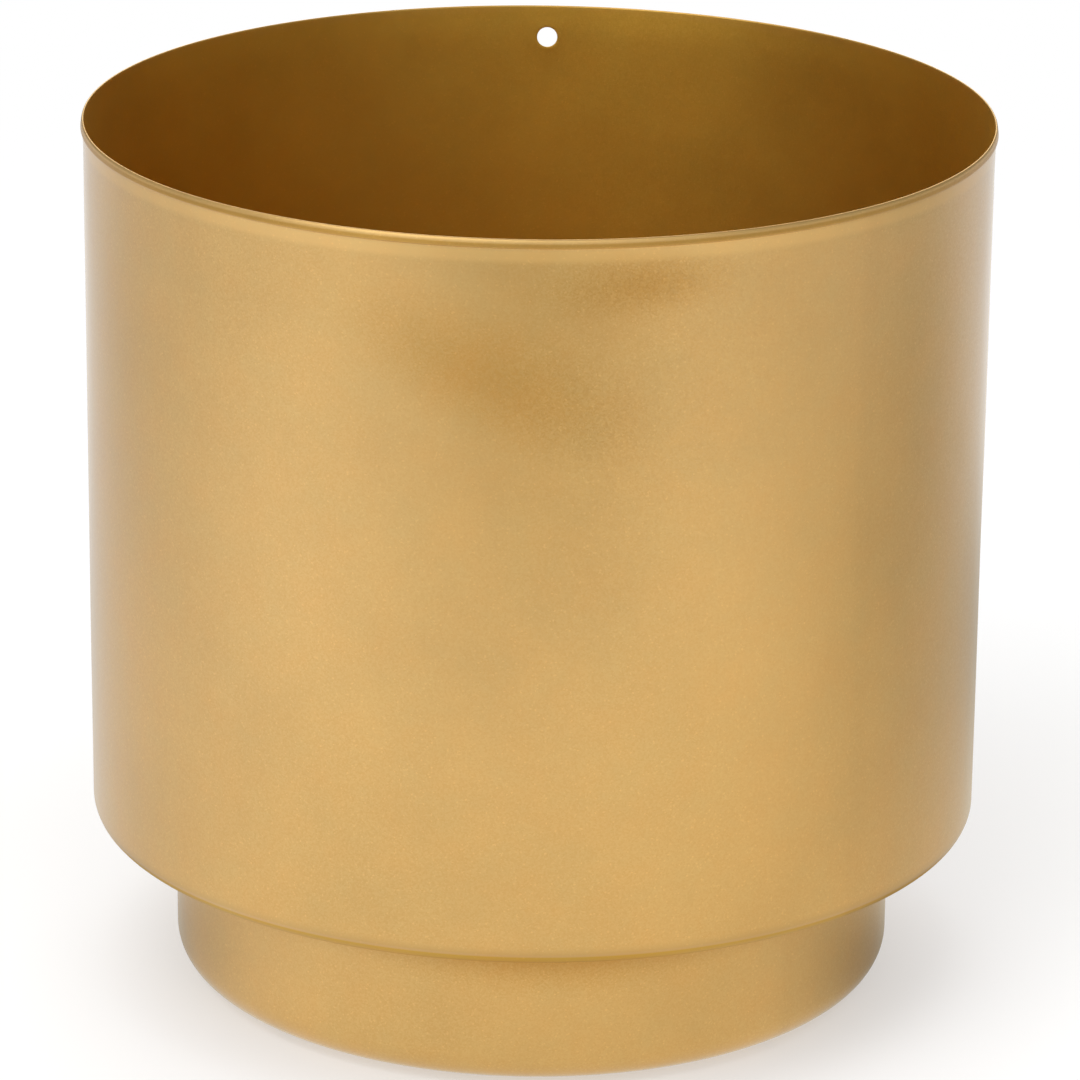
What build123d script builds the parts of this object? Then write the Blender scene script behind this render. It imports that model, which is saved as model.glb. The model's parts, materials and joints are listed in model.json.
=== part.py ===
from build123d import *
import os

# Round sheet-metal cachepot on a narrower foot, in millimetres.
# The origin is at the centre of the pot, on the plane that it stands on. +Z is up.
# The front of the pot faces -Y, and the hook hole is at the back, on +Y.

# Bowl: a drawn cup with a flat hem folded out at the rim
bowl_sheet = 0.4
bowl_radius = 104.5
bowl_height = 167.6
bowl_corner_radius = 3.5
hem_height = 2.0
hem_edge_radius = 0.25
hook_hole_diameter = 5.0
hook_hole_below_rim = 7.9

# Stiffening panel, pressed up in the middle of the bowl's floor
panel_inset = 7.0
panel_rise = 1.5
panel_slope_width = 3.0
panel_bend_radius = 3.0

# Foot: a drawn dish whose wall stands inside the bowl's wall by the inset, with its base cut out
# to a lip, and a flange at the top for welding
foot_sheet = 0.4
foot_inset = 19.6
foot_height = 38.0
foot_corner_radius = 7.5
foot_lip_width = 15.0
flange_width = 10.0
flange_bend_radius = 2.0

# Spot welds between the flange of the foot and the floor of the bowl
weld_count = 8
weld_diameter = 4.0
weld_depth_share = 0.5

# Rubber pads under the lip of the foot
pad_count = 4
pad_diameter = 10.0
pad_thickness = 1.5
pad_edge_radius = 0.3

# How far a cutting tool runs on past the sheet that it cuts
overrun = 2.0

# Levels and circles that more than one piece follows
bowl_base_z = pad_thickness + foot_height
rim_z = bowl_base_z + bowl_height
hook_hole_z = rim_z - hook_hole_below_rim
foot_radius = bowl_radius - foot_inset
panel_radius = foot_radius - panel_inset
flange_radius = foot_radius + flange_width
foot_lip_outer_radius = foot_radius - foot_corner_radius
foot_lip_inner_radius = foot_lip_outer_radius - foot_lip_width
weld_circle_radius = (foot_radius + flange_bend_radius + flange_radius) / 2
pad_circle_radius = (foot_lip_outer_radius + foot_lip_inner_radius) / 2


def sheet_section(outer_points, bend_radii, sheet):
    """The cut face of a pressing, from the (radius, height) points of its outer face and its bends."""
    points = [(radius, 0, height) for radius, height in outer_points]
    outer_face = FilletPolyline(*points, radius=bend_radii)
    return make_face(outer_face.offset_2d(sheet, side=Side.RIGHT))


def hem_section():
    """The sheet folded outwards and flat at the rim: a round fold, and one layer outside the wall."""
    fold_centre_z = rim_z - bowl_sheet
    layer_height = hem_height - bowl_sheet
    layer_centre = Pos(bowl_radius + bowl_sheet / 2, fold_centre_z - layer_height / 2)
    layer = Plane.XZ * layer_centre * Rectangle(bowl_sheet, layer_height)
    lower_outer_corner = layer.vertices().sort_by(Axis.Z)[:2].sort_by(Axis.X)[-1]
    layer = fillet(lower_outer_corner, hem_edge_radius)
    fold = Plane.XZ * Pos(bowl_radius, fold_centre_z) * Circle(bowl_sheet)
    return fold + layer


def weld_nuggets():
    """Discs of fused metal across the face where the flange meets the floor, evenly round the flange."""
    depth = weld_depth_share * (bowl_sheet + foot_sheet)
    nugget = Cylinder(weld_diameter / 2, depth)
    return [spot * nugget for spot in Pos(0, 0, bowl_base_z) * PolarLocations(weld_circle_radius, weld_count)]


def bowl():
    """Drawn cup with its raised floor panel, its hemmed rim and its hook hole."""
    wall_and_floor = sheet_section(
        [
            (0, bowl_base_z + panel_rise),
            (panel_radius - panel_slope_width, bowl_base_z + panel_rise),
            (panel_radius, bowl_base_z),
            (bowl_radius, bowl_base_z),
            (bowl_radius, rim_z - bowl_sheet),
        ],
        [panel_bend_radius, panel_bend_radius, bowl_corner_radius],
        bowl_sheet,
    )
    cup = revolve(wall_and_floor + hem_section(), axis=Axis.Z)
    punch_length = 2 * (bowl_sheet + overrun)
    punch = Pos(0, bowl_radius, hook_hole_z) * Rot(X=90) * Cylinder(hook_hole_diameter / 2, punch_length)
    return cup - punch - weld_nuggets()


def foot():
    """Drawn dish with its base cut out to a lip, and its top edge turned out into a welding flange."""
    section = sheet_section(
        [
            (foot_lip_inner_radius, pad_thickness),
            (foot_radius, pad_thickness),
            (foot_radius, bowl_base_z - foot_sheet),
            (flange_radius, bowl_base_z - foot_sheet),
        ],
        [foot_corner_radius, flange_bend_radius],
        foot_sheet,
    )
    return revolve(section, axis=Axis.Z) - weld_nuggets()


def pads():
    """Rubber pads, glued evenly round the lip of the foot, each with its standing edge rounded."""
    pad = Pos(0, 0, pad_thickness / 2) * Cylinder(pad_diameter / 2, pad_thickness)
    standing_edge = pad.edges().filter_by(GeomType.CIRCLE).sort_by(Axis.Z)[0]
    pad = fillet(standing_edge, pad_edge_radius)
    half_step = Rot(Z=180 / pad_count)
    return [half_step * place * pad for place in PolarLocations(pad_circle_radius, pad_count)]


def main():
    pieces = {"bowl": bowl(), "foot": foot(), "spot_welds": Compound(weld_nuggets())}
    for number, pad in enumerate(pads(), start=1):
        pieces[f"pad_{number}"] = pad
    os.makedirs("parts", exist_ok=True)
    for node, piece in pieces.items():
        export_step(piece, f"parts/{node}.step")


main()
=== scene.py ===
# The looks of the cachepot: lacquered sheet steel and rubber pads, on a pale floor in soft studio light.
# Lengths are in metres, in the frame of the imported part. The front faces -Y, and +Z is up.
import json
import math

import bpy
import numpy as np
from mathutils import Matrix, Vector


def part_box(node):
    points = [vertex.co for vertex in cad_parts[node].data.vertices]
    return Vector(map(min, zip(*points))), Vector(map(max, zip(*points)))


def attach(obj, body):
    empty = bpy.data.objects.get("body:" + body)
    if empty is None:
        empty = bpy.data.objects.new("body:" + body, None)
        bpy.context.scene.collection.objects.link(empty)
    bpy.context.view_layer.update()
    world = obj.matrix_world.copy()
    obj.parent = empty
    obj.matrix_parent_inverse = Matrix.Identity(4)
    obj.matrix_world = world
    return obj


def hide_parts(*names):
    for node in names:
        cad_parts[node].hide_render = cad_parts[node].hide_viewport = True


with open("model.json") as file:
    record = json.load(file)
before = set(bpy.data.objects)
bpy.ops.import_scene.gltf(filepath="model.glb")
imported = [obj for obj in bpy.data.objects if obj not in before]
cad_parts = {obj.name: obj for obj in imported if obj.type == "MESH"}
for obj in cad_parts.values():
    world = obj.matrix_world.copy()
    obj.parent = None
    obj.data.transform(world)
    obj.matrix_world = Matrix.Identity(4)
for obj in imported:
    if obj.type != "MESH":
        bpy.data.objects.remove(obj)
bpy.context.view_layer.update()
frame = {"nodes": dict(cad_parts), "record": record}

mm = 0.001

# Sizes that the frame gives
bowl_low, bowl_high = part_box("bowl")
foot_low, foot_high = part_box("foot")
mounts = {mount["name"]: mount for mount in frame["record"]["mounts"]}
hook_hole = mounts["hook_hole"]
hole_radius = hook_hole["dims"]["r_mm"] * mm
hole_z = hook_hole["pos_m"][2]
inner_floor_z = mounts["inner_floor"]["pos_m"][2]
rim_z = bowl_high.z
floor_z = bowl_low.z
pad_count = sum(node.startswith("pad_") for node in frame["nodes"])

# Sheet and folds, as the part is made
sheet = 0.4 * mm
corner_radius = 3.5 * mm
panel_inset = 7.0 * mm
panel_slope_width = 3.0 * mm
panel_bend_radius = 3.0 * mm
hem_height = 2.0 * mm
foot_corner_radius = 7.5 * mm
foot_lip_width = 15.0 * mm
flange_width = 10.0 * mm
flange_bend_radius = 2.0 * mm
weld_count = 8
weld_dent_diameter = 4.6 * mm
weld_dent_depth = 0.11 * mm

# The hem as the press and the lacquer leave it: a fillet under it, its lower edge, its leaning outer face,
# and its top and inner side, all of them arcs but for that face. Angles are in degrees.
hem_lean = 8
hem_top_height = 1.2 * mm
hem_top_depth = 0.45 * mm
hem_inner_height = 0.4 * mm
hem_edge_radius = 0.22 * mm
hem_edge_start = -70
hem_fillet = 0.24 * mm
hem_fillet_end = 125

# The softened edge of the hook hole, with the dish that its punch leaves round it
hole_edge_radius = 0.1 * mm
hole_dish_depth = 0.08 * mm
hole_dish_reach = 2.2 * mm

# The neck under the hem: a flare up to it, and a shallow dip round the pot below that
neck_flare = 0.14 * mm
neck_reach = 2.0 * mm
neck_dip_depth = 0.05 * mm
neck_dip_place = 6.5 * mm
neck_dip_above = 4.0 * mm
neck_dip_below = 12.0 * mm

# Out-of-true of the pressed wall: depth, waves round the pot, waves up the wall, phase
wall_waves = [
    (0.060 * mm, 3, 0.6, 0.4),
    (0.045 * mm, 5, 1.3, 2.1),
    (0.030 * mm, 8, 1.9, 4.0),
    (0.016 * mm, 13, 2.7, 1.2),
]

# Moulded pads: the rounded standing edge and the softened top edge, and the standing face, which is
# hollow by its height in the middle and at rings of (share of the radius, height), out to a last ring
# inside the edge. The top face has one ring more, at a share of the radius.
pad_edge_radius = 0.3 * mm
pad_bevel = 0.12 * mm
pad_hollow_height = 0.06 * mm
pad_hollow_rings = [(0.35, pad_hollow_height), (0.7, 0.04 * mm)]
pad_last_ring_inset = 2.6 * pad_edge_radius
pad_last_ring_height = 0.01 * mm
pad_top_ring_share = 0.6

# Mesh fineness
columns = 504
centre_columns = columns // 4
bend_step = math.radians(9)
wall_step = 6.5 * mm
neck_step = neck_reach / 4
floor_step = 5.0 * mm
weld_step = 0.8 * mm
patch_cells = 8
patch_rings = 5
hole_edge_steps = 3
cut_edge_steps = 6
hem_steps = {"fillet": 4, "edge": 6, "top": 14, "inner": 7}
pad_columns = 96
pad_edge_steps = 6
pad_bevel_steps = 4

# Radii and levels worked out from the above
rim_radius = bowl_high.x
wall_radius = rim_radius - sheet
inner_radius = wall_radius - sheet
flange_radius = foot_high.x
foot_radius = flange_radius - flange_width
foot_base_z = foot_low.z
panel_radius = foot_radius - panel_inset
panel_z = inner_floor_z - sheet
lip_radius = foot_radius - foot_corner_radius - foot_lip_width
weld_circle_radius = (foot_radius + flange_bend_radius + flange_radius) / 2
hole_mouth_radius = hole_radius + hole_edge_radius
column_angle = 2 * math.pi / columns

# Within fine_radius the floor's rings have only centre_columns. Within still_radius nothing is pushed out
# of true, and from still_fade outside it the push is full. The least radius avoids a division by zero.
fine_radius = panel_radius / 2
still_radius = wall_radius - 3 * corner_radius
still_fade = 2 * corner_radius
least_radius = 1e-9


def unit(vector):
    return vector / np.linalg.norm(vector)


def left_of(direction):
    return np.array([-direction[1], direction[0]])


def bent_line(corners, radii):
    """Points and left-hand normals along straight runs that arcs join at the inner corners."""
    corners = [np.array(corner, float) for corner in corners]
    starts = [corners[0]]
    arcs = []
    for before, corner, after, radius in zip(corners, corners[1:], corners[2:], radii):
        way_in = unit(corner - before)
        way_out = unit(after - corner)
        turn = math.atan2(way_in[0] * way_out[1] - way_in[1] * way_out[0], way_in @ way_out)
        reach = radius * math.tan(abs(turn) / 2)
        side = math.copysign(1, turn)
        arcs.append((corner - reach * way_in, way_in, turn, radius, side))
        starts.append(corner + reach * way_out)
    points = []
    normals = []
    for number, start in enumerate(starts):
        end = arcs[number][0] if number < len(arcs) else corners[-1]
        way = unit(end - start)
        steps = max(1, round(np.linalg.norm(end - start) / floor_step))
        for share in np.linspace(0, 1, steps + 1):
            points.append(start + share * (end - start))
            normals.append(left_of(way))
        if number < len(arcs):
            tangent_point, way_in, turn, radius, side = arcs[number]
            centre = tangent_point + side * radius * left_of(way_in)
            steps = max(2, round(abs(turn) / bend_step))
            for angle in np.linspace(0, turn, steps + 1)[1:-1]:
                turned = Matrix.Rotation(angle, 2)
                normal = np.array(turned @ Vector(left_of(way_in)))
                points.append(centre - side * radius * normal)
                normals.append(normal)
    return np.array(points), np.array(normals)


def finer_at_welds(points, normals):
    """The same line, with its straight runs divided finely where the spot welds leave their dents."""
    low = weld_circle_radius - weld_dent_diameter
    high = weld_circle_radius + weld_dent_diameter
    out_points = [points[0]]
    out_normals = [normals[0]]
    for start, end, normal in zip(points, points[1:], normals[1:]):
        middle = (start[0] + end[0]) / 2
        steps = 1
        if low < middle < high:
            steps = max(1, math.ceil(np.linalg.norm(end - start) / weld_step))
        for share in np.linspace(0, 1, steps + 1)[1:]:
            out_points.append(start + share * (end - start))
            out_normals.append(normal)
    return np.array(out_points), np.array(out_normals)


def arc(centre, radii, start, end, steps):
    """Points on an ellipse's arc, from one angle to another in degrees."""
    angles = np.radians(np.linspace(start, end, steps + 1))
    return np.column_stack([centre[0] + radii[0] * np.cos(angles), centre[1] + radii[1] * np.sin(angles)])


def hem_line():
    """The section of the folded rim, from the wall's outer face over the top to its inner face."""
    hem_low_z = rim_z - hem_height
    fillet_centre = (wall_radius + hem_fillet, hem_low_z - hem_fillet)
    fillet = arc(fillet_centre, (hem_fillet, hem_fillet), 180, hem_fillet_end, hem_steps["fillet"])
    edge_centre = (wall_radius + sheet - hem_edge_radius, hem_low_z + hem_edge_radius)
    edge = arc(edge_centre, (hem_edge_radius, hem_edge_radius), hem_edge_start, hem_lean, hem_steps["edge"])
    lean = math.tan(math.radians(hem_lean))
    top_start = math.degrees(math.atan(lean * hem_top_height / hem_top_depth))
    top = arc((0, rim_z - hem_top_height), (hem_top_depth, hem_top_height), top_start, 90, hem_steps["top"])
    top[:, 0] += edge[-1][0] - lean * (top[0][1] - edge[-1][1]) - top[0][0]
    inner_centre = (top[-1][0], rim_z - hem_inner_height)
    inner_depth = top[-1][0] - inner_radius
    inner = arc(inner_centre, (inner_depth, hem_inner_height), 90, 180, hem_steps["inner"])
    return np.vstack([fillet, edge, top, inner[1:]])


def wall_heights(low, high):
    """Levels of the rows up the wall, and the number of the first row of the patch round the hook hole."""
    cell = column_angle * wall_radius
    patch_low = hole_z - patch_cells / 2 * cell
    patch = patch_low + cell * np.arange(patch_cells + 1)
    below = np.linspace(low, patch_low, max(2, round((patch_low - low) / wall_step)) + 1)
    above = np.linspace(patch[-1], high, max(1, round((high - patch[-1]) / neck_step)) + 1)
    return np.concatenate([below[:-1], patch, above[1:]]), len(below) - 1


def wall_wave(angle, height):
    """How far the wall stands out of true, with none of it at the rim and the lower corner."""
    share = np.clip((height - floor_z) / (rim_z - floor_z), 0, 1)
    total = np.zeros_like(angle)
    for depth, around, upward, phase in wall_waves:
        total += depth * np.cos(around * angle + phase) * np.cos(2 * math.pi * upward * share + 2 * phase)
    return total * np.sin(math.pi * share) ** 0.5


def shape_wall(points):
    """Moves the wall's points out or in by its waves, its neck under the hem and the dish round the hole."""
    radius = np.hypot(points[:, 0], points[:, 1])
    angle = np.arctan2(points[:, 1], points[:, 0])
    height = points[:, 2]
    wall_share = np.clip((radius - still_radius) / still_fade, 0, 1)
    below_hem = rim_z - hem_height - height
    flare = neck_flare * np.exp(-np.clip(below_hem, 0, None) / neck_reach)
    from_dip = below_hem - neck_dip_place
    dip_reach = np.where(from_dip < 0, neck_dip_above, neck_dip_below)
    flare -= neck_dip_depth * np.exp(-((from_dip / dip_reach) ** 2))
    from_hole = np.hypot(points[:, 0], height - hole_z)
    near_hole = (points[:, 1] > 0) * np.exp(-np.clip(from_hole - hole_radius, 0, None) / hole_dish_reach)
    push = wall_share * (wall_wave(angle, height) + flare - hole_dish_depth * near_hole)
    out = points.copy()
    out[:, :2] *= ((radius + push) / np.maximum(radius, least_radius))[:, None]
    return out


def dent_welds(points, level, direction):
    """Presses the electrode's dents, which have flat bottoms, into the points near a level.

    The direction is -1 for down into the floor, or 1 for up into the flange.
    """
    out = points.copy()
    near = np.abs(points[:, 2] - level) < sheet / 4
    for number in range(weld_count):
        angle = 2 * math.pi * number / weld_count
        away = np.hypot(
            points[:, 0] - weld_circle_radius * math.cos(angle),
            points[:, 1] - weld_circle_radius * math.sin(angle),
        )
        depth = weld_dent_depth * np.exp(-((2 * away / weld_dent_diameter) ** 4))
        out[near, 2] += direction * depth[near]
    return out


class Mesh:
    """Vertices and faces of one piece, gathered ring by ring."""

    def __init__(self):
        self.points = []
        self.faces = []

    def add_points(self, points):
        first = len(self.points)
        self.points.extend(map(tuple, points))
        return np.arange(first, len(self.points))

    def ring(self, radius, height, count):
        """A level circle of points, the first of them at the back, where the hook hole is."""
        angles = math.pi / 2 + 2 * math.pi * np.arange(count) / count
        circle = np.column_stack([radius * np.cos(angles), radius * np.sin(angles), np.full(count, height)])
        return self.add_points(circle)

    def join(self, lower, upper, skip=()):
        """Quads between two rings of the same count, but for the columns in skip."""
        count = len(lower)
        for start in range(count):
            if start not in skip:
                end = (start + 1) % count
                self.faces.append((lower[start], lower[end], upper[end], upper[start]))

    def join_finer(self, fine, coarse):
        """Triangles between a ring and one inside it that has a quarter as many columns."""
        ratio = len(fine) // len(coarse)
        half = ratio // 2
        for number, corner in enumerate(coarse):
            next_corner = coarse[(number + 1) % len(coarse)]
            row = [fine[(number * ratio + step) % len(fine)] for step in range(ratio + 1)]
            for step in range(ratio):
                apex = corner if step < half else next_corner
                self.faces.append((row[step], row[step + 1], apex))
            self.faces.append((corner, row[half], next_corner))

    def fan(self, ring, centre):
        count = len(ring)
        for start in range(count):
            self.faces.append((ring[start], ring[(start + 1) % count], centre))

    def build(self, name, shape):
        """The Blender object, with its points shaped and its faces pointing outwards."""
        points = shape(np.array(self.points, float))
        data = bpy.data.meshes.new(name)
        data.from_pydata(points.tolist(), [], [tuple(int(corner) for corner in face) for face in self.faces])
        data.validate()
        data.shade_smooth()
        piece = bpy.data.objects.new(name, data)
        bpy.context.scene.collection.objects.link(piece)
        turn_outwards(data)
        return piece


def turn_outwards(data):
    """Turns all faces over if the closed mesh has them pointing inwards."""
    data.calc_loop_triangles()
    volume = 0.0
    for triangle in data.loop_triangles:
        first, second, third = (data.vertices[corner].co for corner in triangle.vertices)
        volume += first.dot(second.cross(third))
    if volume < 0:
        data.flip_normals()


def base_rings(mesh, points, normals, offset):
    """Rings of one face of the bowl's floor, from the middle outwards, and the point at its centre."""
    rings = []
    for point, normal in zip(points[:-1], normals[:-1]):
        radius, height = point + offset * normal
        if radius > floor_step / 2:
            count = columns if radius > fine_radius else centre_columns
            rings.append(mesh.ring(radius, height, count))
    centre = mesh.add_points([(0, 0, points[0][1] + offset)])[0]
    return rings, centre


def join_base(mesh, rings, centre, flip):
    """Joins the rings of one face of the bowl's floor, and turns its faces over where flip is true."""
    mesh.fan(rings[0] if flip else rings[0][::-1], centre)
    for inside, outside in zip(rings, rings[1:]):
        if len(inside) == len(outside):
            mesh.join(*((outside, inside) if flip else (inside, outside)))
        else:
            first_face = len(mesh.faces)
            mesh.join_finer(outside, inside)
            if not flip:
                mesh.faces[first_face:] = [face[::-1] for face in mesh.faces[first_face:]]


def join_wall(mesh, rows, first_row, flip):
    """Joins the rows of one face of the wall, leaving out the faces of the hole's patch."""
    half = patch_cells // 2
    hole_columns = {column % columns for column in range(-half, half)}
    for number, (lower, upper) in enumerate(zip(rows, rows[1:])):
        skip = hole_columns if first_row <= number < first_row + patch_cells else ()
        if flip:
            lower, upper = upper, lower
        mesh.join(lower, upper, skip)


def patch_edge(rows, first_row):
    """Indices of the points round the edge of the hole's patch, in one turn."""
    half = patch_cells // 2

    def at(row, column):
        return rows[first_row + row][column % columns]

    bottom = [at(0, column) for column in range(-half, half)]
    side = [at(row, half) for row in range(patch_cells)]
    top = [at(patch_cells, column) for column in range(half, -half, -1)]
    other_side = [at(row, -half) for row in range(patch_cells, 0, -1)]
    return np.array(bottom + side + top + other_side)


def back_of_wall(across, height, radius):
    """Points on a face of the wall at the back, each at a distance across from the hole's axis."""
    return np.column_stack([across, np.sqrt(radius**2 - across**2), height])


def hole_rings(mesh, edge, radius):
    """Rings from the edge of the hole's patch, a square, in to a circle round the hole."""
    corners = np.array([mesh.points[index] for index in edge])
    across = corners[:, 0]
    upward = corners[:, 2] - hole_z
    length = np.hypot(across, upward)
    rings = [edge]
    for share in np.linspace(0, 1, patch_rings + 1)[1:]:
        scale = (1 - share) + share * hole_mouth_radius / length
        rings.append(mesh.add_points(back_of_wall(across * scale, hole_z + upward * scale, radius)))
    return rings


def bore_rings(mesh, edge):
    """Rings through the hook hole, over its softened outer edge and out over its inner one."""
    corners = np.array([mesh.points[index] for index in edge])
    direction = corners[:, [0, 2]] - [0, hole_z]
    direction /= np.linalg.norm(direction, axis=1)[:, None]
    soft_edge = []
    for turn in np.radians(np.linspace(0, 90, hole_edge_steps + 1)[1:]):
        depth = hole_edge_radius * (1 - math.cos(turn))
        soft_edge.append((hole_mouth_radius - hole_edge_radius * math.sin(turn), depth))
    bore = [(radius, wall_radius - depth) for radius, depth in soft_edge]
    bore += [(radius, inner_radius + depth) for radius, depth in reversed(soft_edge)]
    rings = []
    for radius, cylinder in bore:
        ring = back_of_wall(direction[:, 0] * radius, hole_z + direction[:, 1] * radius, cylinder)
        rings.append(mesh.add_points(ring))
    return rings


def make_bowl():
    """The drawn cup, its pressed floor, its hem and its hook hole, as one closed surface."""
    corners = [
        (0, panel_z),
        (panel_radius - panel_slope_width, panel_z),
        (panel_radius, floor_z),
        (wall_radius, floor_z),
        (wall_radius, floor_z + 2 * corner_radius),
    ]
    radii = [panel_bend_radius, panel_bend_radius, corner_radius]
    points, normals = finer_at_welds(*bent_line(corners, radii))
    hem = hem_line()
    heights, first_row = wall_heights(points[-1][1], hem[0][1])
    patch_top = first_row + patch_cells
    inner_heights = heights.copy()
    inner_heights[patch_top:] = np.linspace(heights[patch_top], hem[-1][1], len(heights) - patch_top)

    mesh = Mesh()
    outer_base, outer_centre = base_rings(mesh, points, normals, 0)
    inner_base, inner_centre = base_rings(mesh, points, normals, sheet)
    outer_rows = [mesh.ring(wall_radius, height, columns) for height in heights]
    inner_rows = [mesh.ring(inner_radius, height, columns) for height in inner_heights]
    hem_rings = [mesh.ring(radius, height, columns) for radius, height in hem[1:-1]]

    join_base(mesh, outer_base, outer_centre, False)
    join_base(mesh, inner_base, inner_centre, True)
    mesh.join(outer_base[-1], outer_rows[0])
    mesh.join(inner_rows[0], inner_base[-1])
    join_wall(mesh, outer_rows, first_row, False)
    join_wall(mesh, inner_rows, first_row, True)
    over_rim = [outer_rows[-1], *hem_rings, inner_rows[-1]]
    for lower, upper in zip(over_rim, over_rim[1:]):
        mesh.join(lower, upper)

    outer_edge = patch_edge(outer_rows, first_row)
    inner_edge = patch_edge(inner_rows, first_row)
    outside = hole_rings(mesh, outer_edge, wall_radius)
    inside = hole_rings(mesh, inner_edge, inner_radius)
    through_hole = [*outside, *bore_rings(mesh, outer_edge), *inside[::-1]]
    for first, second in zip(through_hole, through_hole[1:]):
        mesh.join(first, second)

    def shape(points):
        return dent_welds(shape_wall(points), floor_z + sheet, -1)

    return mesh.build("bowl_shell", shape)


def make_foot():
    """The drawn dish with its lip and its welding flange, its cut edges softened by the lacquer."""
    soft = sheet / 2
    corners = [
        (lip_radius, foot_base_z),
        (foot_radius, foot_base_z),
        (foot_radius, floor_z - sheet),
        (flange_radius - soft, floor_z - sheet),
    ]
    points, normals = finer_at_welds(*bent_line(corners, [foot_corner_radius, flange_bend_radius]))
    points[0][0] += soft
    flange_edge = arc((points[-1][0], points[-1][1] + soft), (soft, soft), -90, 90, cut_edge_steps)
    lip_edge = arc((points[0][0], points[0][1] + soft), (soft, soft), 90, 270, cut_edge_steps)
    section = np.vstack([points, flange_edge[1:-1], (points + sheet * normals)[::-1], lip_edge[1:-1]])
    mesh = Mesh()
    rings = [mesh.ring(radius, height, columns) for radius, height in section]
    for lower, upper in zip(rings, rings[1:] + rings[:1]):
        mesh.join(lower, upper)

    def shape(points):
        return dent_welds(points, floor_z - sheet, 1)

    return mesh.build("foot_shell", shape)


def make_pad(number):
    """A rubber pad: a low disc with a moulded edge and a slightly hollow standing face."""
    low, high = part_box(f"pad_{number}")
    centre = (low + high) / 2
    radius = (high.x - low.x) / 2
    edge = pad_edge_radius
    bevel = pad_bevel
    section = [
        *[(share * radius, low.z + hollow) for share, hollow in pad_hollow_rings],
        (radius - pad_last_ring_inset, low.z + pad_last_ring_height),
        *arc((radius - edge, low.z + edge), (edge, edge), -90, 0, pad_edge_steps),
        (radius, low.z + (high.z - low.z) / 2),
        *arc((radius - bevel, high.z - bevel), (bevel, bevel), 0, 90, pad_bevel_steps),
        (pad_top_ring_share * radius, high.z),
    ]
    mesh = Mesh()
    rings = [mesh.ring(ring_radius, height, pad_columns) for ring_radius, height in section]
    for lower, upper in zip(rings, rings[1:]):
        mesh.join(lower, upper)
    bottom, top = mesh.add_points([(0, 0, low.z + pad_hollow_height), (0, 0, high.z)])
    mesh.fan(rings[0][::-1], bottom)
    mesh.fan(rings[-1], top)

    def shape(points):
        return points + [centre.x, centre.y, 0]

    return mesh.build(f"rubber_pad_{number}", shape)


class Tree:
    """A node tree under construction: add makes a node and fills its inputs with values or other outputs."""

    def __init__(self, owner):
        owner.use_nodes = True
        self.nodes = owner.node_tree.nodes
        self.links = owner.node_tree.links
        self.nodes.clear()

    def add(self, kind, inputs=None, **settings):
        node = self.nodes.new(kind)
        for key, value in settings.items():
            setattr(node, key, value)
        for key, value in (inputs or {}).items():
            if isinstance(value, bpy.types.NodeSocket):
                self.links.new(value, node.inputs[key])
            else:
                node.inputs[key].default_value = value
        return node

    def math(self, operation, *values):
        return self.add("ShaderNodeMath", dict(enumerate(values)), operation=operation).outputs[0]

    def combine(self, operation, *vectors):
        """The vector that an operation on vectors gives."""
        node = self.add("ShaderNodeVectorMath", dict(enumerate(vectors)), operation=operation)
        return node.outputs["Vector"]

    def measure(self, operation, *vectors):
        """The number that an operation on vectors gives: a length, a distance or a dot product."""
        node = self.add("ShaderNodeVectorMath", dict(enumerate(vectors)), operation=operation)
        return node.outputs["Value"]

    def scale(self, vector, factor):
        node = self.add("ShaderNodeVectorMath", {0: vector, "Scale": factor}, operation="SCALE")
        return node.outputs["Vector"]

    def spread(self, value, low, high, to_low, to_high, smooth=False):
        """A value mapped from one range to another, and held at its ends."""
        node = self.add(
            "ShaderNodeMapRange",
            {"Value": value, "From Min": low, "From Max": high, "To Min": to_low, "To Max": to_high},
            interpolation_type="SMOOTHSTEP" if smooth else "LINEAR",
        )
        return node.outputs["Result"]

    def mix(self, share, first, second):
        node = self.add("ShaderNodeMix", {"Factor": share, "A": first, "B": second}, data_type="RGBA")
        return node.outputs["Result"]

    def noise(self, place, size, detail, roughness=0.5, offset=0.0):
        if offset:
            place = self.combine("ADD", place, (offset,) * 3)
        node = self.add(
            "ShaderNodeTexNoise",
            {"Vector": place, "Scale": 1 / size, "Detail": detail, "Roughness": roughness},
        )
        return node.outputs["Fac"]

    def bump(self, height, strength, depth):
        node = self.add("ShaderNodeBump", {"Height": height, "Strength": strength, "Distance": depth})
        return node.outputs["Normal"]

    def choose(self, share, first, second):
        """Two shaders mixed: the first where the share is 0, the second where it is 1."""
        return self.add("ShaderNodeMixShader", {0: share, 1: first, 2: second}).outputs[0]


# Noise patterns of the materials. An offset keeps two patterns in the same place from lining up.
peel_noise = {"size": 2.4 * mm, "detail": 1.0}
cloud_noise = {"size": 34 * mm, "detail": 6.0, "roughness": 0.62, "offset": 3.7}
stain_noise = {"size": 11 * mm, "detail": 4.0, "roughness": 0.6, "offset": 8.3}
rubber_noise = {"size": 0.25 * mm, "detail": 3.0, "roughness": 0.6}
dust_noise = {"size": 2.5 * mm, "detail": 4.0, "roughness": 0.6}
steel_noise = {"size": 0.2 * mm, "detail": 3.0, "roughness": 0.6}
heat_noise = {"size": 1.5 * mm, "detail": 2.0}
noise_range = (0.3, 0.7)

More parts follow.
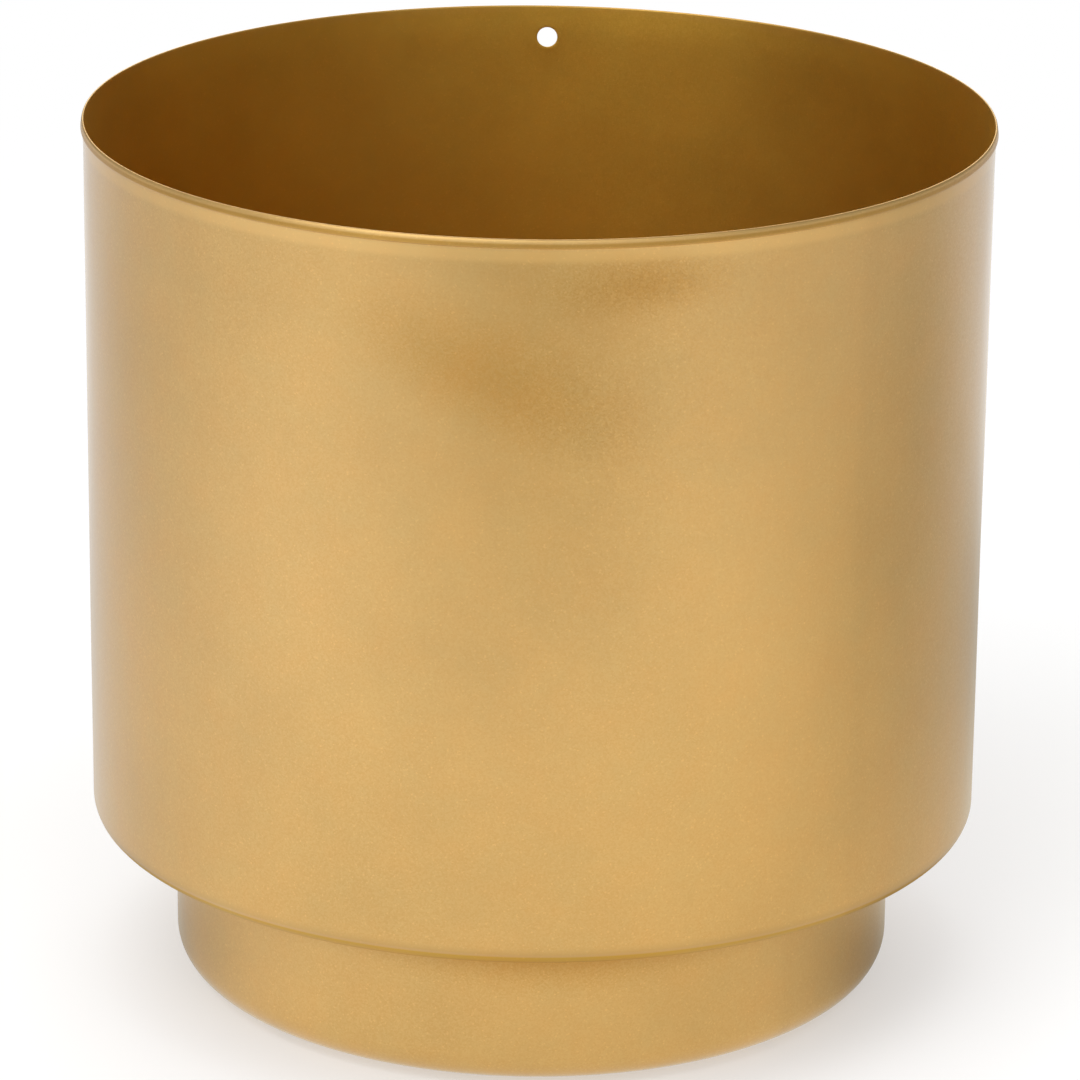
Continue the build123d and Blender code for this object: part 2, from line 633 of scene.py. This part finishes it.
# Lacquer: the two shades of its metal flake, how strongly they show, and how far the flakes are tilted.
# A few flakes sparkle. The coat has an orange peel, and clouds and stains vary the colour a little.
dark_flake = (0.777, 0.460, 0.136, 1)
pale_flake = (0.848, 0.552, 0.194, 1)
flake_size = 0.36 * mm
flake_share = 0.6
flake_tilt = 0.12
sparkle_share = 0.04
sparkle_bright_share = 0.07
peel_depth = 0.006 * mm
cloud_share = 0.05
cloud_roughness = 0.02
warm_stain = (1.014, 0.988, 0.96, 1)
cool_stain = (0.986, 1.012, 1.04, 1)
metal_roughness = 0.45
coat_roughness = 0.18
coat_ior = 1.5

# Zones of the finish, most of them painted light and shade in the lacquer's colour. The painted highlight on
# the hem, the painted shade under it and the paler painted sheen band are levels below the rim: where each
# starts, is full, is no longer full, and ends. The painted corner shade and the painted glint reach up from
# the bowl's base to their heights, and from its wall in to the corner shade's depth. The drier spray with its
# painted shade reaches down the foot.
bead_highlight_levels = (-1.0 * mm, -0.5 * mm, 0.7 * mm, 1.3 * mm)
shade_levels = (0.7 * mm, 1.25 * mm, 1.5 * mm, 2.5 * mm)
painted_sheen_levels = (1.9 * mm, 3.0 * mm, 4.2 * mm, 6.0 * mm)
corner_shade_height = 5.0 * mm
corner_glint_height = 3.1 * mm
corner_shade_depth = 1.2 * corner_radius
dry_and_shade_height = 12.0 * mm

# Each zone's colour and how much of it is mixed in, and what it adds to the other qualities of the lacquer
zone_finish = {
    # Painted highlight: a brighter gold over the rolled hem's face, with less coat
    "bead_highlight": {"colour": (0.88, 0.58, 0.22), "share": 0.7, "roughness": 0.04, "coat": -0.7, "grain": 0.0},
    # Painted shade: a brown band just under the rolled hem, with less coat
    "shade": {"colour": (0.62, 0.34, 0.065), "share": 0.85, "roughness": 0.0, "coat": -0.6, "grain": 0.2},
    # Painted sheen: a paler, brighter band under the hem in place of the nearer floor's reflection, with
    # finer grain
    "painted_sheen": {"colour": (0.96, 0.62, 0.21), "share": 0.65, "roughness": 0.04, "coat": 0.0, "grain": -0.3},
    # Painted shade: a darker gold over the bowl's lower corner, above the step to the foot
    "corner_shade": {"colour": (0.72, 0.45, 0.15), "share": 1.0, "roughness": 0.0, "coat": 0.0, "grain": -0.1},
    # Painted glint: a pale pinkish line along the lowest edge of the bowl's corner
    "corner_glint": {"colour": (0.90, 0.62, 0.42), "share": 0.8, "roughness": 0.0, "coat": 0.0, "grain": -0.1},
    # Drier, rougher spray with coarser grain, and painted shade: a darker colour down the foot under the
    # bowl's overhang
    "dry_and_shade": {"colour": (0.585, 0.35, 0.12), "share": 1.0, "roughness": 0.08, "coat": -0.5, "grain": 0.3},
    # Painted shade of the cavity: a darker, deeper gold over the whole inside, with less coat and a little
    # rougher
    "inside": {"colour": (0.70, 0.425, 0.05), "share": 0.85, "roughness": 0.05, "coat": -0.85, "grain": -0.2},
    # Thinner, grainier lacquer on the front with a painted dark reflection: browner and darker, with less
    # coat
    "thin_and_shade": {"colour": (0.56, 0.275, 0.053), "share": 0.44, "roughness": 0.03, "coat": -0.7, "grain": 0.9},
}

# Patches of thinner, grainier lacquer on the front, with a painted dark reflection over them: place across,
# level, half length, half height, tilt in degrees.
# Each fades out at the fade share of those halves. The depth lets it reach the wall, however far that curves.
thin_and_shade_patches = [
    (-7.5 * mm, 176.0 * mm, 33 * mm, 13.5 * mm, 24),
    (23.0 * mm, 196.5 * mm, 20 * mm, 7.5 * mm, -4),
    (6.0 * mm, 34.0 * mm, 40 * mm, 9 * mm, 0),
]
patch_fade_share = 1.3
patch_depth = 1000 * mm

# Rubber: black, with a dusting over part of it
rubber_black = (0.022, 0.021, 0.020, 1)
rubber_dusty = (0.075, 0.070, 0.062, 1)
dust_range = (0.45, 0.75)
dust_share = 0.5
rubber_roughness = (0.62, 0.8)
rubber_bump = {"strength": 0.5, "depth": 0.03 * mm}

# Weld steel: grey, tinted by the heat
steel_blue = (0.34, 0.35, 0.38, 1)
steel_straw = (0.52, 0.50, 0.46, 1)
steel_roughness = (0.35, 0.6)
steel_bump = {"strength": 0.5, "depth": 0.02 * mm}


def thin_and_shade_patch(tree, place, across, level, half_length, half_height, tilt):
    """Share from 0 to 1 of one patch of thinner lacquer with a painted dark reflection: full in its middle,
    and faded out all round.
    """
    local = tree.add(
        "ShaderNodeMapping",
        {
            "Vector": place,
            "Location": (across, 0, level),
            "Rotation": (0, math.radians(tilt), 0),
            "Scale": (half_length, patch_depth, half_height),
        },
        vector_type="TEXTURE",
    ).outputs[0]
    return tree.spread(tree.measure("LENGTH", local), 0, patch_fade_share, 1, 0, smooth=True)


def finish_zones(tree, place):
    """Shares from 0 to 1 of each zone of the finish and of its painted light and shade, from the place on the
    pot.
    """
    parts = tree.add("ShaderNodeSeparateXYZ", {"Vector": place}).outputs
    height = parts["Z"]
    radius = tree.measure("LENGTH", tree.combine("MULTIPLY", place, (1, 1, 0)))
    mid_sheet = wall_radius - sheet / 2
    outside = tree.spread(radius, mid_sheet - sheet / 4, mid_sheet + sheet / 4, 0, 1)
    above_floor = tree.spread(height, floor_z + sheet / 4, floor_z + 3 * sheet / 4, 0, 1)
    below_rim = tree.math("SUBTRACT", rim_z, height)

    def band(start, full, full_end, end):
        rise = tree.spread(below_rim, start, full, 0, 1, smooth=True)
        fall = tree.spread(below_rim, full_end, end, 1, 0, smooth=True)
        return tree.math("MULTIPLY", outside, tree.math("MULTIPLY", rise, fall))

    # Painted shade over the bowl's lower corner
    corner_shade = tree.spread(height, floor_z + corner_shade_height, floor_z + corner_shade_height / 2, 0, 1, smooth=True)
    # Painted glint along the lowest edge of the bowl's corner
    corner_glint = tree.spread(height, floor_z + corner_glint_height, floor_z + corner_glint_height / 2, 0, 1, smooth=True)
    # Painted shade under the bowl's overhang, over the drier spray down the foot
    near_step = tree.spread(height, floor_z - dry_and_shade_height, floor_z, 0, 1, smooth=True)
    on_foot = tree.math("LESS_THAN", height, floor_z - sheet / 4)
    corner_shade_start = wall_radius - corner_shade_depth
    corner = tree.spread(radius, corner_shade_start, corner_shade_start + corner_radius / 2, 0, 1, smooth=True)
    outer_corner = tree.math("MULTIPLY", corner, tree.math("SUBTRACT", 1, on_foot))
    thin_and_shade = 0.0
    for patch in thin_and_shade_patches:
        thin_and_shade = tree.math("ADD", thin_and_shade_patch(tree, place, *patch), thin_and_shade)
    # The painted dark reflection of the thinner patches is kept to the front
    front = tree.math("LESS_THAN", parts["Y"], 0)
    return {
        "bead_highlight": band(*bead_highlight_levels),
        "shade": band(*shade_levels),
        "painted_sheen": band(*painted_sheen_levels),
        "corner_shade": tree.math("MULTIPLY", corner_shade, outer_corner),
        "corner_glint": tree.math("MULTIPLY", corner_glint, outer_corner),
        "dry_and_shade": tree.math("MULTIPLY", near_step, on_foot),
        "inside": tree.math("MULTIPLY", above_floor, tree.math("SUBTRACT", 1, outside)),
        "thin_and_shade": tree.math("MULTIPLY", front, thin_and_shade),
    }


def new_material(name):
    """A material, its node tree under construction, and the place on the piece in that tree."""
    material = bpy.data.materials.new(name)
    tree = Tree(material)
    return material, tree, tree.add("ShaderNodeTexCoord").outputs["Object"]


def finish_material(tree, inputs):
    shader = tree.add("ShaderNodeBsdfPrincipled", inputs)
    tree.add("ShaderNodeOutputMaterial", {"Surface": shader.outputs[0]})


def gold_lacquer():
    """Metal flakes in a clear coat, with soft clouds and stains, and with zones of the finish that are mostly
    painted light and shade.
    """
    material, tree, place = new_material("gold_lacquer")
    zones = finish_zones(tree, place)

    def varied(quality, value):
        for zone, finish in zone_finish.items():
            value = tree.math("MULTIPLY_ADD", zones[zone], finish[quality], value)
        return value

    flakes = tree.add("ShaderNodeTexVoronoi", {"Vector": place, "Scale": 1 / flake_size}).outputs["Color"]
    flake = tree.add("ShaderNodeSeparateColor", {"Color": flakes}).outputs["Red"]
    peel = tree.noise(place, **peel_noise)
    cloud = tree.noise(place, **cloud_noise)
    stain = tree.noise(place, **stain_noise)

    grain = varied("grain", flake_share)
    pale = tree.math("MULTIPLY_ADD", tree.math("SUBTRACT", flake, 0.5), grain, 0.5)
    shade = tree.mix(pale, dark_flake, pale_flake)
    for zone, finish in zone_finish.items():
        shade = tree.mix(tree.math("MULTIPLY", zones[zone], finish["share"]), shade, (*finish["colour"], 1))
    tint = tree.mix(tree.spread(stain, *noise_range, 0, 1), warm_stain, cool_stain)
    cloudy = tree.spread(cloud, *noise_range, 1 - cloud_share, 1 + cloud_share)
    sparkle = tree.spread(flake, 1 - sparkle_share, 1, 1, 1 + sparkle_bright_share)
    brightness = tree.math("MULTIPLY", cloudy, sparkle)
    roughness = tree.spread(
        cloud, *noise_range, metal_roughness - cloud_roughness, metal_roughness + cloud_roughness
    )

    coat_normal = tree.bump(peel, 1.0, peel_depth)
    way = tree.combine("SUBTRACT", flakes, (0.5, 0.5, 0.5))
    lean = tree.scale(way, tree.math("MULTIPLY", grain, flake_tilt))
    flake_normal = tree.combine("NORMALIZE", tree.combine("ADD", coat_normal, lean))
    finish_material(
        tree,
        {
            "Base Color": tree.scale(tree.combine("MULTIPLY", shade, tint), brightness),
            "Metallic": 1.0,
            "Roughness": varied("roughness", roughness),
            "Coat Weight": varied("coat", 1.0),
            "Coat Roughness": coat_roughness,
            "Coat IOR": coat_ior,
            "Normal": flake_normal,
            "Coat Normal": coat_normal,
        },
    )
    return material


def pad_rubber():
    material, tree, place = new_material("pad_rubber")
    dust = tree.noise(place, **dust_noise)
    finish_material(
        tree,
        {
            "Base Color": tree.mix(tree.spread(dust, *dust_range, 0, dust_share), rubber_black, rubber_dusty),
            "Roughness": tree.spread(dust, *noise_range, *rubber_roughness),
            "Normal": tree.bump(tree.noise(place, **rubber_noise), **rubber_bump),
        },
    )
    return material


def weld_steel():
    material, tree, place = new_material("weld_steel")
    grain = tree.noise(place, **steel_noise)
    finish_material(
        tree,
        {
            "Base Color": tree.mix(tree.noise(place, **heat_noise), steel_blue, steel_straw),
            "Metallic": 1.0,
            "Roughness": tree.spread(grain, *noise_range, *steel_roughness),
            "Normal": tree.bump(grain, **steel_bump),
        },
    )
    return material


# Studio: softboxes as (azimuth from the front, elevation, core angle, edge angle, strength), in degrees
studio_grey = 0.04
softboxes = {
    "window_left": (-38, 33, 12, 38, 2.0),
    "window_right": (28, 29, 8, 30, 0.92),
    "front_low": (4, 12, 8, 36, 0.45),
    "left_box": (-100, 10, 6, 32, 0.3),
    "right_box": (80, 12, 6, 34, 0.4),
    "left_rim": (-135, 22, 6, 32, 0.2),
    "right_rim": (130, 22, 6, 32, 0.25),
    "back_box": (180, 42, 8, 40, 2.1),
    "ceiling": (0, 90, 10, 45, 0.1),
}
white = (1, 1, 1, 1)

# Floor as the lacquer mirrors it: it glows at an even level, with painted pools of light and painted shade on
# it, the pot's painted shadow beside the foot among them, as (azimuth from the front in degrees, distance of
# the middle, reach, strength)
floor_size = 6.0
floor_grey = (0.93, 0.93, 0.93, 1)
floor_even = 0.77
floor_pools = {
    "front": (4, 0.36, 0.28, 0.27),
    "front_left": (-55, 0.50, 0.38, 0.42),
    "front_right": (42, 0.47, 0.34, 0.42),
    "camera_shade": (2, 0.92, 0.58, -0.75),
    "right": (95, 0.42, 0.36, -0.22),
    "right_far": (104, 0.68, 0.34, -0.32),
    "left_far": (-112, 0.64, 0.30, -0.14),
    "right_back": (142, 0.30, 0.20, -0.24),
    "left_near": (-50, 0.15, 0.09, 0.15),
    "left_shade": (-90, 0.10, 0.075, -0.30),
    "right_shade": (85, 0.10, 0.072, -0.46),
    "back": (180, 0.60, 0.45, 0.55),
}

# Warm light on the mirrored floor round a place, given by its azimuth and distance. It is full within the
# core and gone at the reach.
warm_light = (1.0, 0.94, 0.80, 1)
warm_place = (70, 0.25)
warm_core = 0.10
warm_reach = 0.62

# Floor as it is seen: by a share it shows its own shading, with the pot's shadow, and the rest is white.
# Between the near and the far distance from the pot it turns all white.
floor_seen_share = 0.55
floor_seen_near = 0.2
floor_seen_far = 0.9

# Lamps that cast the soft shadow: azimuth and elevation in degrees, distance, size, power in watts
lamps = {
    "key_lamp": (-30, 68, 2.2, 1.8, 22),
    "fill_lamp": (60, 62, 2.4, 1.8, 11),
}


def aim(azimuth, elevation):
    """A direction from the pot, with azimuth 0 to the front and 90 to the right."""
    around = math.radians(azimuth)
    upward = math.radians(elevation)
    return (math.sin(around) * math.cos(upward), -math.cos(around) * math.cos(upward), math.sin(upward))


def light_world():
    """The softboxes, which light the pot and the floor. The camera sees white instead of them."""
    world = bpy.data.worlds.new("studio")
    bpy.context.scene.world = world
    tree = Tree(world)
    direction = tree.add("ShaderNodeTexCoord").outputs["Generated"]
    level = studio_grey
    for azimuth, elevation, core, edge, strength in softboxes.values():
        along = tree.measure("DOT_PRODUCT", direction, aim(azimuth, elevation))
        edge_along = math.cos(math.radians(edge))
        core_along = math.cos(math.radians(core))
        level = tree.math("ADD", level, tree.spread(along, edge_along, core_along, 0, strength, smooth=True))
    studio = tree.add("ShaderNodeBackground", {"Color": white, "Strength": level}).outputs[0]
    backdrop = tree.add("ShaderNodeBackground", {"Color": white, "Strength": 1.0}).outputs[0]
    camera_ray = tree.add("ShaderNodeLightPath").outputs["Is Camera Ray"]
    tree.add("ShaderNodeOutputWorld", {"Surface": tree.choose(camera_ray, studio, backdrop)})


def floor_surface(tree, place):
    """A plain floor, which the camera sees nearly white and the lacquer mirrors with its pools of light."""

    def away_from(azimuth, distance):
        return tree.measure("DISTANCE", place, distance * Vector(aim(azimuth, 0)))

    mirrored = floor_even
    for azimuth, distance, reach, strength in floor_pools.values():
        pool = tree.spread(away_from(azimuth, distance), 0, reach, strength, 0, smooth=True)
        mirrored = tree.math("ADD", pool, mirrored)
    cooler = tree.spread(away_from(*warm_place), warm_core, warm_reach, 0, 1, smooth=True)
    tint = tree.mix(cooler, warm_light, white)
    glow = tree.add("ShaderNodeEmission", {"Color": tint, "Strength": mirrored}).outputs[0]
    plain = tree.add("ShaderNodeBsdfDiffuse", {"Color": floor_grey}).outputs[0]
    backdrop = tree.add("ShaderNodeEmission", {"Color": white, "Strength": 1.0}).outputs[0]
    from_pot = tree.measure("LENGTH", place)
    seen_white = tree.spread(from_pot, floor_seen_near, floor_seen_far, 1 - floor_seen_share, 1, smooth=True)
    path = tree.add("ShaderNodeLightPath").outputs
    seen = tree.choose(seen_white, plain, backdrop)
    other = tree.choose(path["Is Glossy Ray"], plain, glow)
    return tree.choose(path["Is Camera Ray"], other, seen)


def make_floor():
    half = floor_size / 2
    corners = [(-half, -half, 0), (half, -half, 0), (half, half, 0), (-half, half, 0)]
    data = bpy.data.meshes.new("floor")
    data.from_pydata(corners, [], [(0, 1, 2, 3)])
    floor = bpy.data.objects.new("floor", data)
    bpy.context.scene.collection.objects.link(floor)
    material, tree, place = new_material("floor")
    tree.add("ShaderNodeOutputMaterial", {"Surface": floor_surface(tree, place)})
    data.materials.append(material)


def add_lamp(name, azimuth, elevation, distance, size, power):
    """A round lamp aimed at the pot, which the lacquer doesn't mirror."""
    lamp = bpy.data.lights.new(name, "AREA")
    lamp.shape = "DISK"
    lamp.size = size
    lamp.energy = power
    place = distance * Vector(aim(azimuth, elevation))
    holder = bpy.data.objects.new(name, lamp)
    holder.location = place
    holder.rotation_euler = (-place).to_track_quat("-Z", "Y").to_euler()
    holder.visible_glossy = False
    bpy.context.scene.collection.objects.link(holder)


# Camera, from the fit to the photograph's outline: place, direction and lens. Angles are in radians, and
# the lens and the sensor in millimetres.
camera_place = Vector((19.97, -1261.4, 539.5)) * mm
camera_azimuth = math.radians(-0.856)
camera_pitch = math.radians(19.059)
camera_roll = 0.0108
camera_lens = 189.13
camera_sensor = 36.0
camera_near = 0.01
camera_far = 50


def place_camera():
    """The camera of the photograph, turned a little round its line of sight by the roll."""
    data = bpy.data.cameras.new("camera")
    data.lens = camera_lens
    data.sensor_width = camera_sensor
    data.clip_start = camera_near
    data.clip_end = camera_far
    camera = bpy.data.objects.new("camera", data)
    bpy.context.scene.collection.objects.link(camera)
    level = math.cos(camera_pitch)
    ahead = Vector(
        (math.sin(camera_azimuth) * level, math.cos(camera_azimuth) * level, -math.sin(camera_pitch))
    )
    across = Vector((math.cos(camera_azimuth), -math.sin(camera_azimuth), 0))
    upward = across.cross(ahead)
    right = math.cos(camera_roll) * across + math.sin(camera_roll) * upward
    up = math.cos(camera_roll) * upward - math.sin(camera_roll) * across
    camera.matrix_world = Matrix.Translation(camera_place) @ Matrix((right, up, -ahead)).transposed().to_4x4()
    bpy.context.scene.camera = camera


def dress(piece, material, slot, *nodes):
    """Gives a piece its material, its body and the nodes that it replaces. The slot is not used."""
    piece.data.materials.append(material)
    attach(piece, "root")
    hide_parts(*nodes)


place_camera()
lacquer = gold_lacquer()
dress(make_bowl(), lacquer, "gold_lacquer", "bowl")
dress(make_foot(), lacquer, "gold_lacquer", "foot")
rubber = pad_rubber()
for number in range(1, pad_count + 1):
    dress(make_pad(number), rubber, "pad_rubber", f"pad_{number}")
welds = frame["nodes"]["spot_welds"]
welds.data.materials.clear()
welds.data.materials.append(weld_steel())

light_world()
make_floor()
for name, values in lamps.items():
    add_lamp(name, *values)
bpy.context.scene.view_settings.view_transform = "Standard"
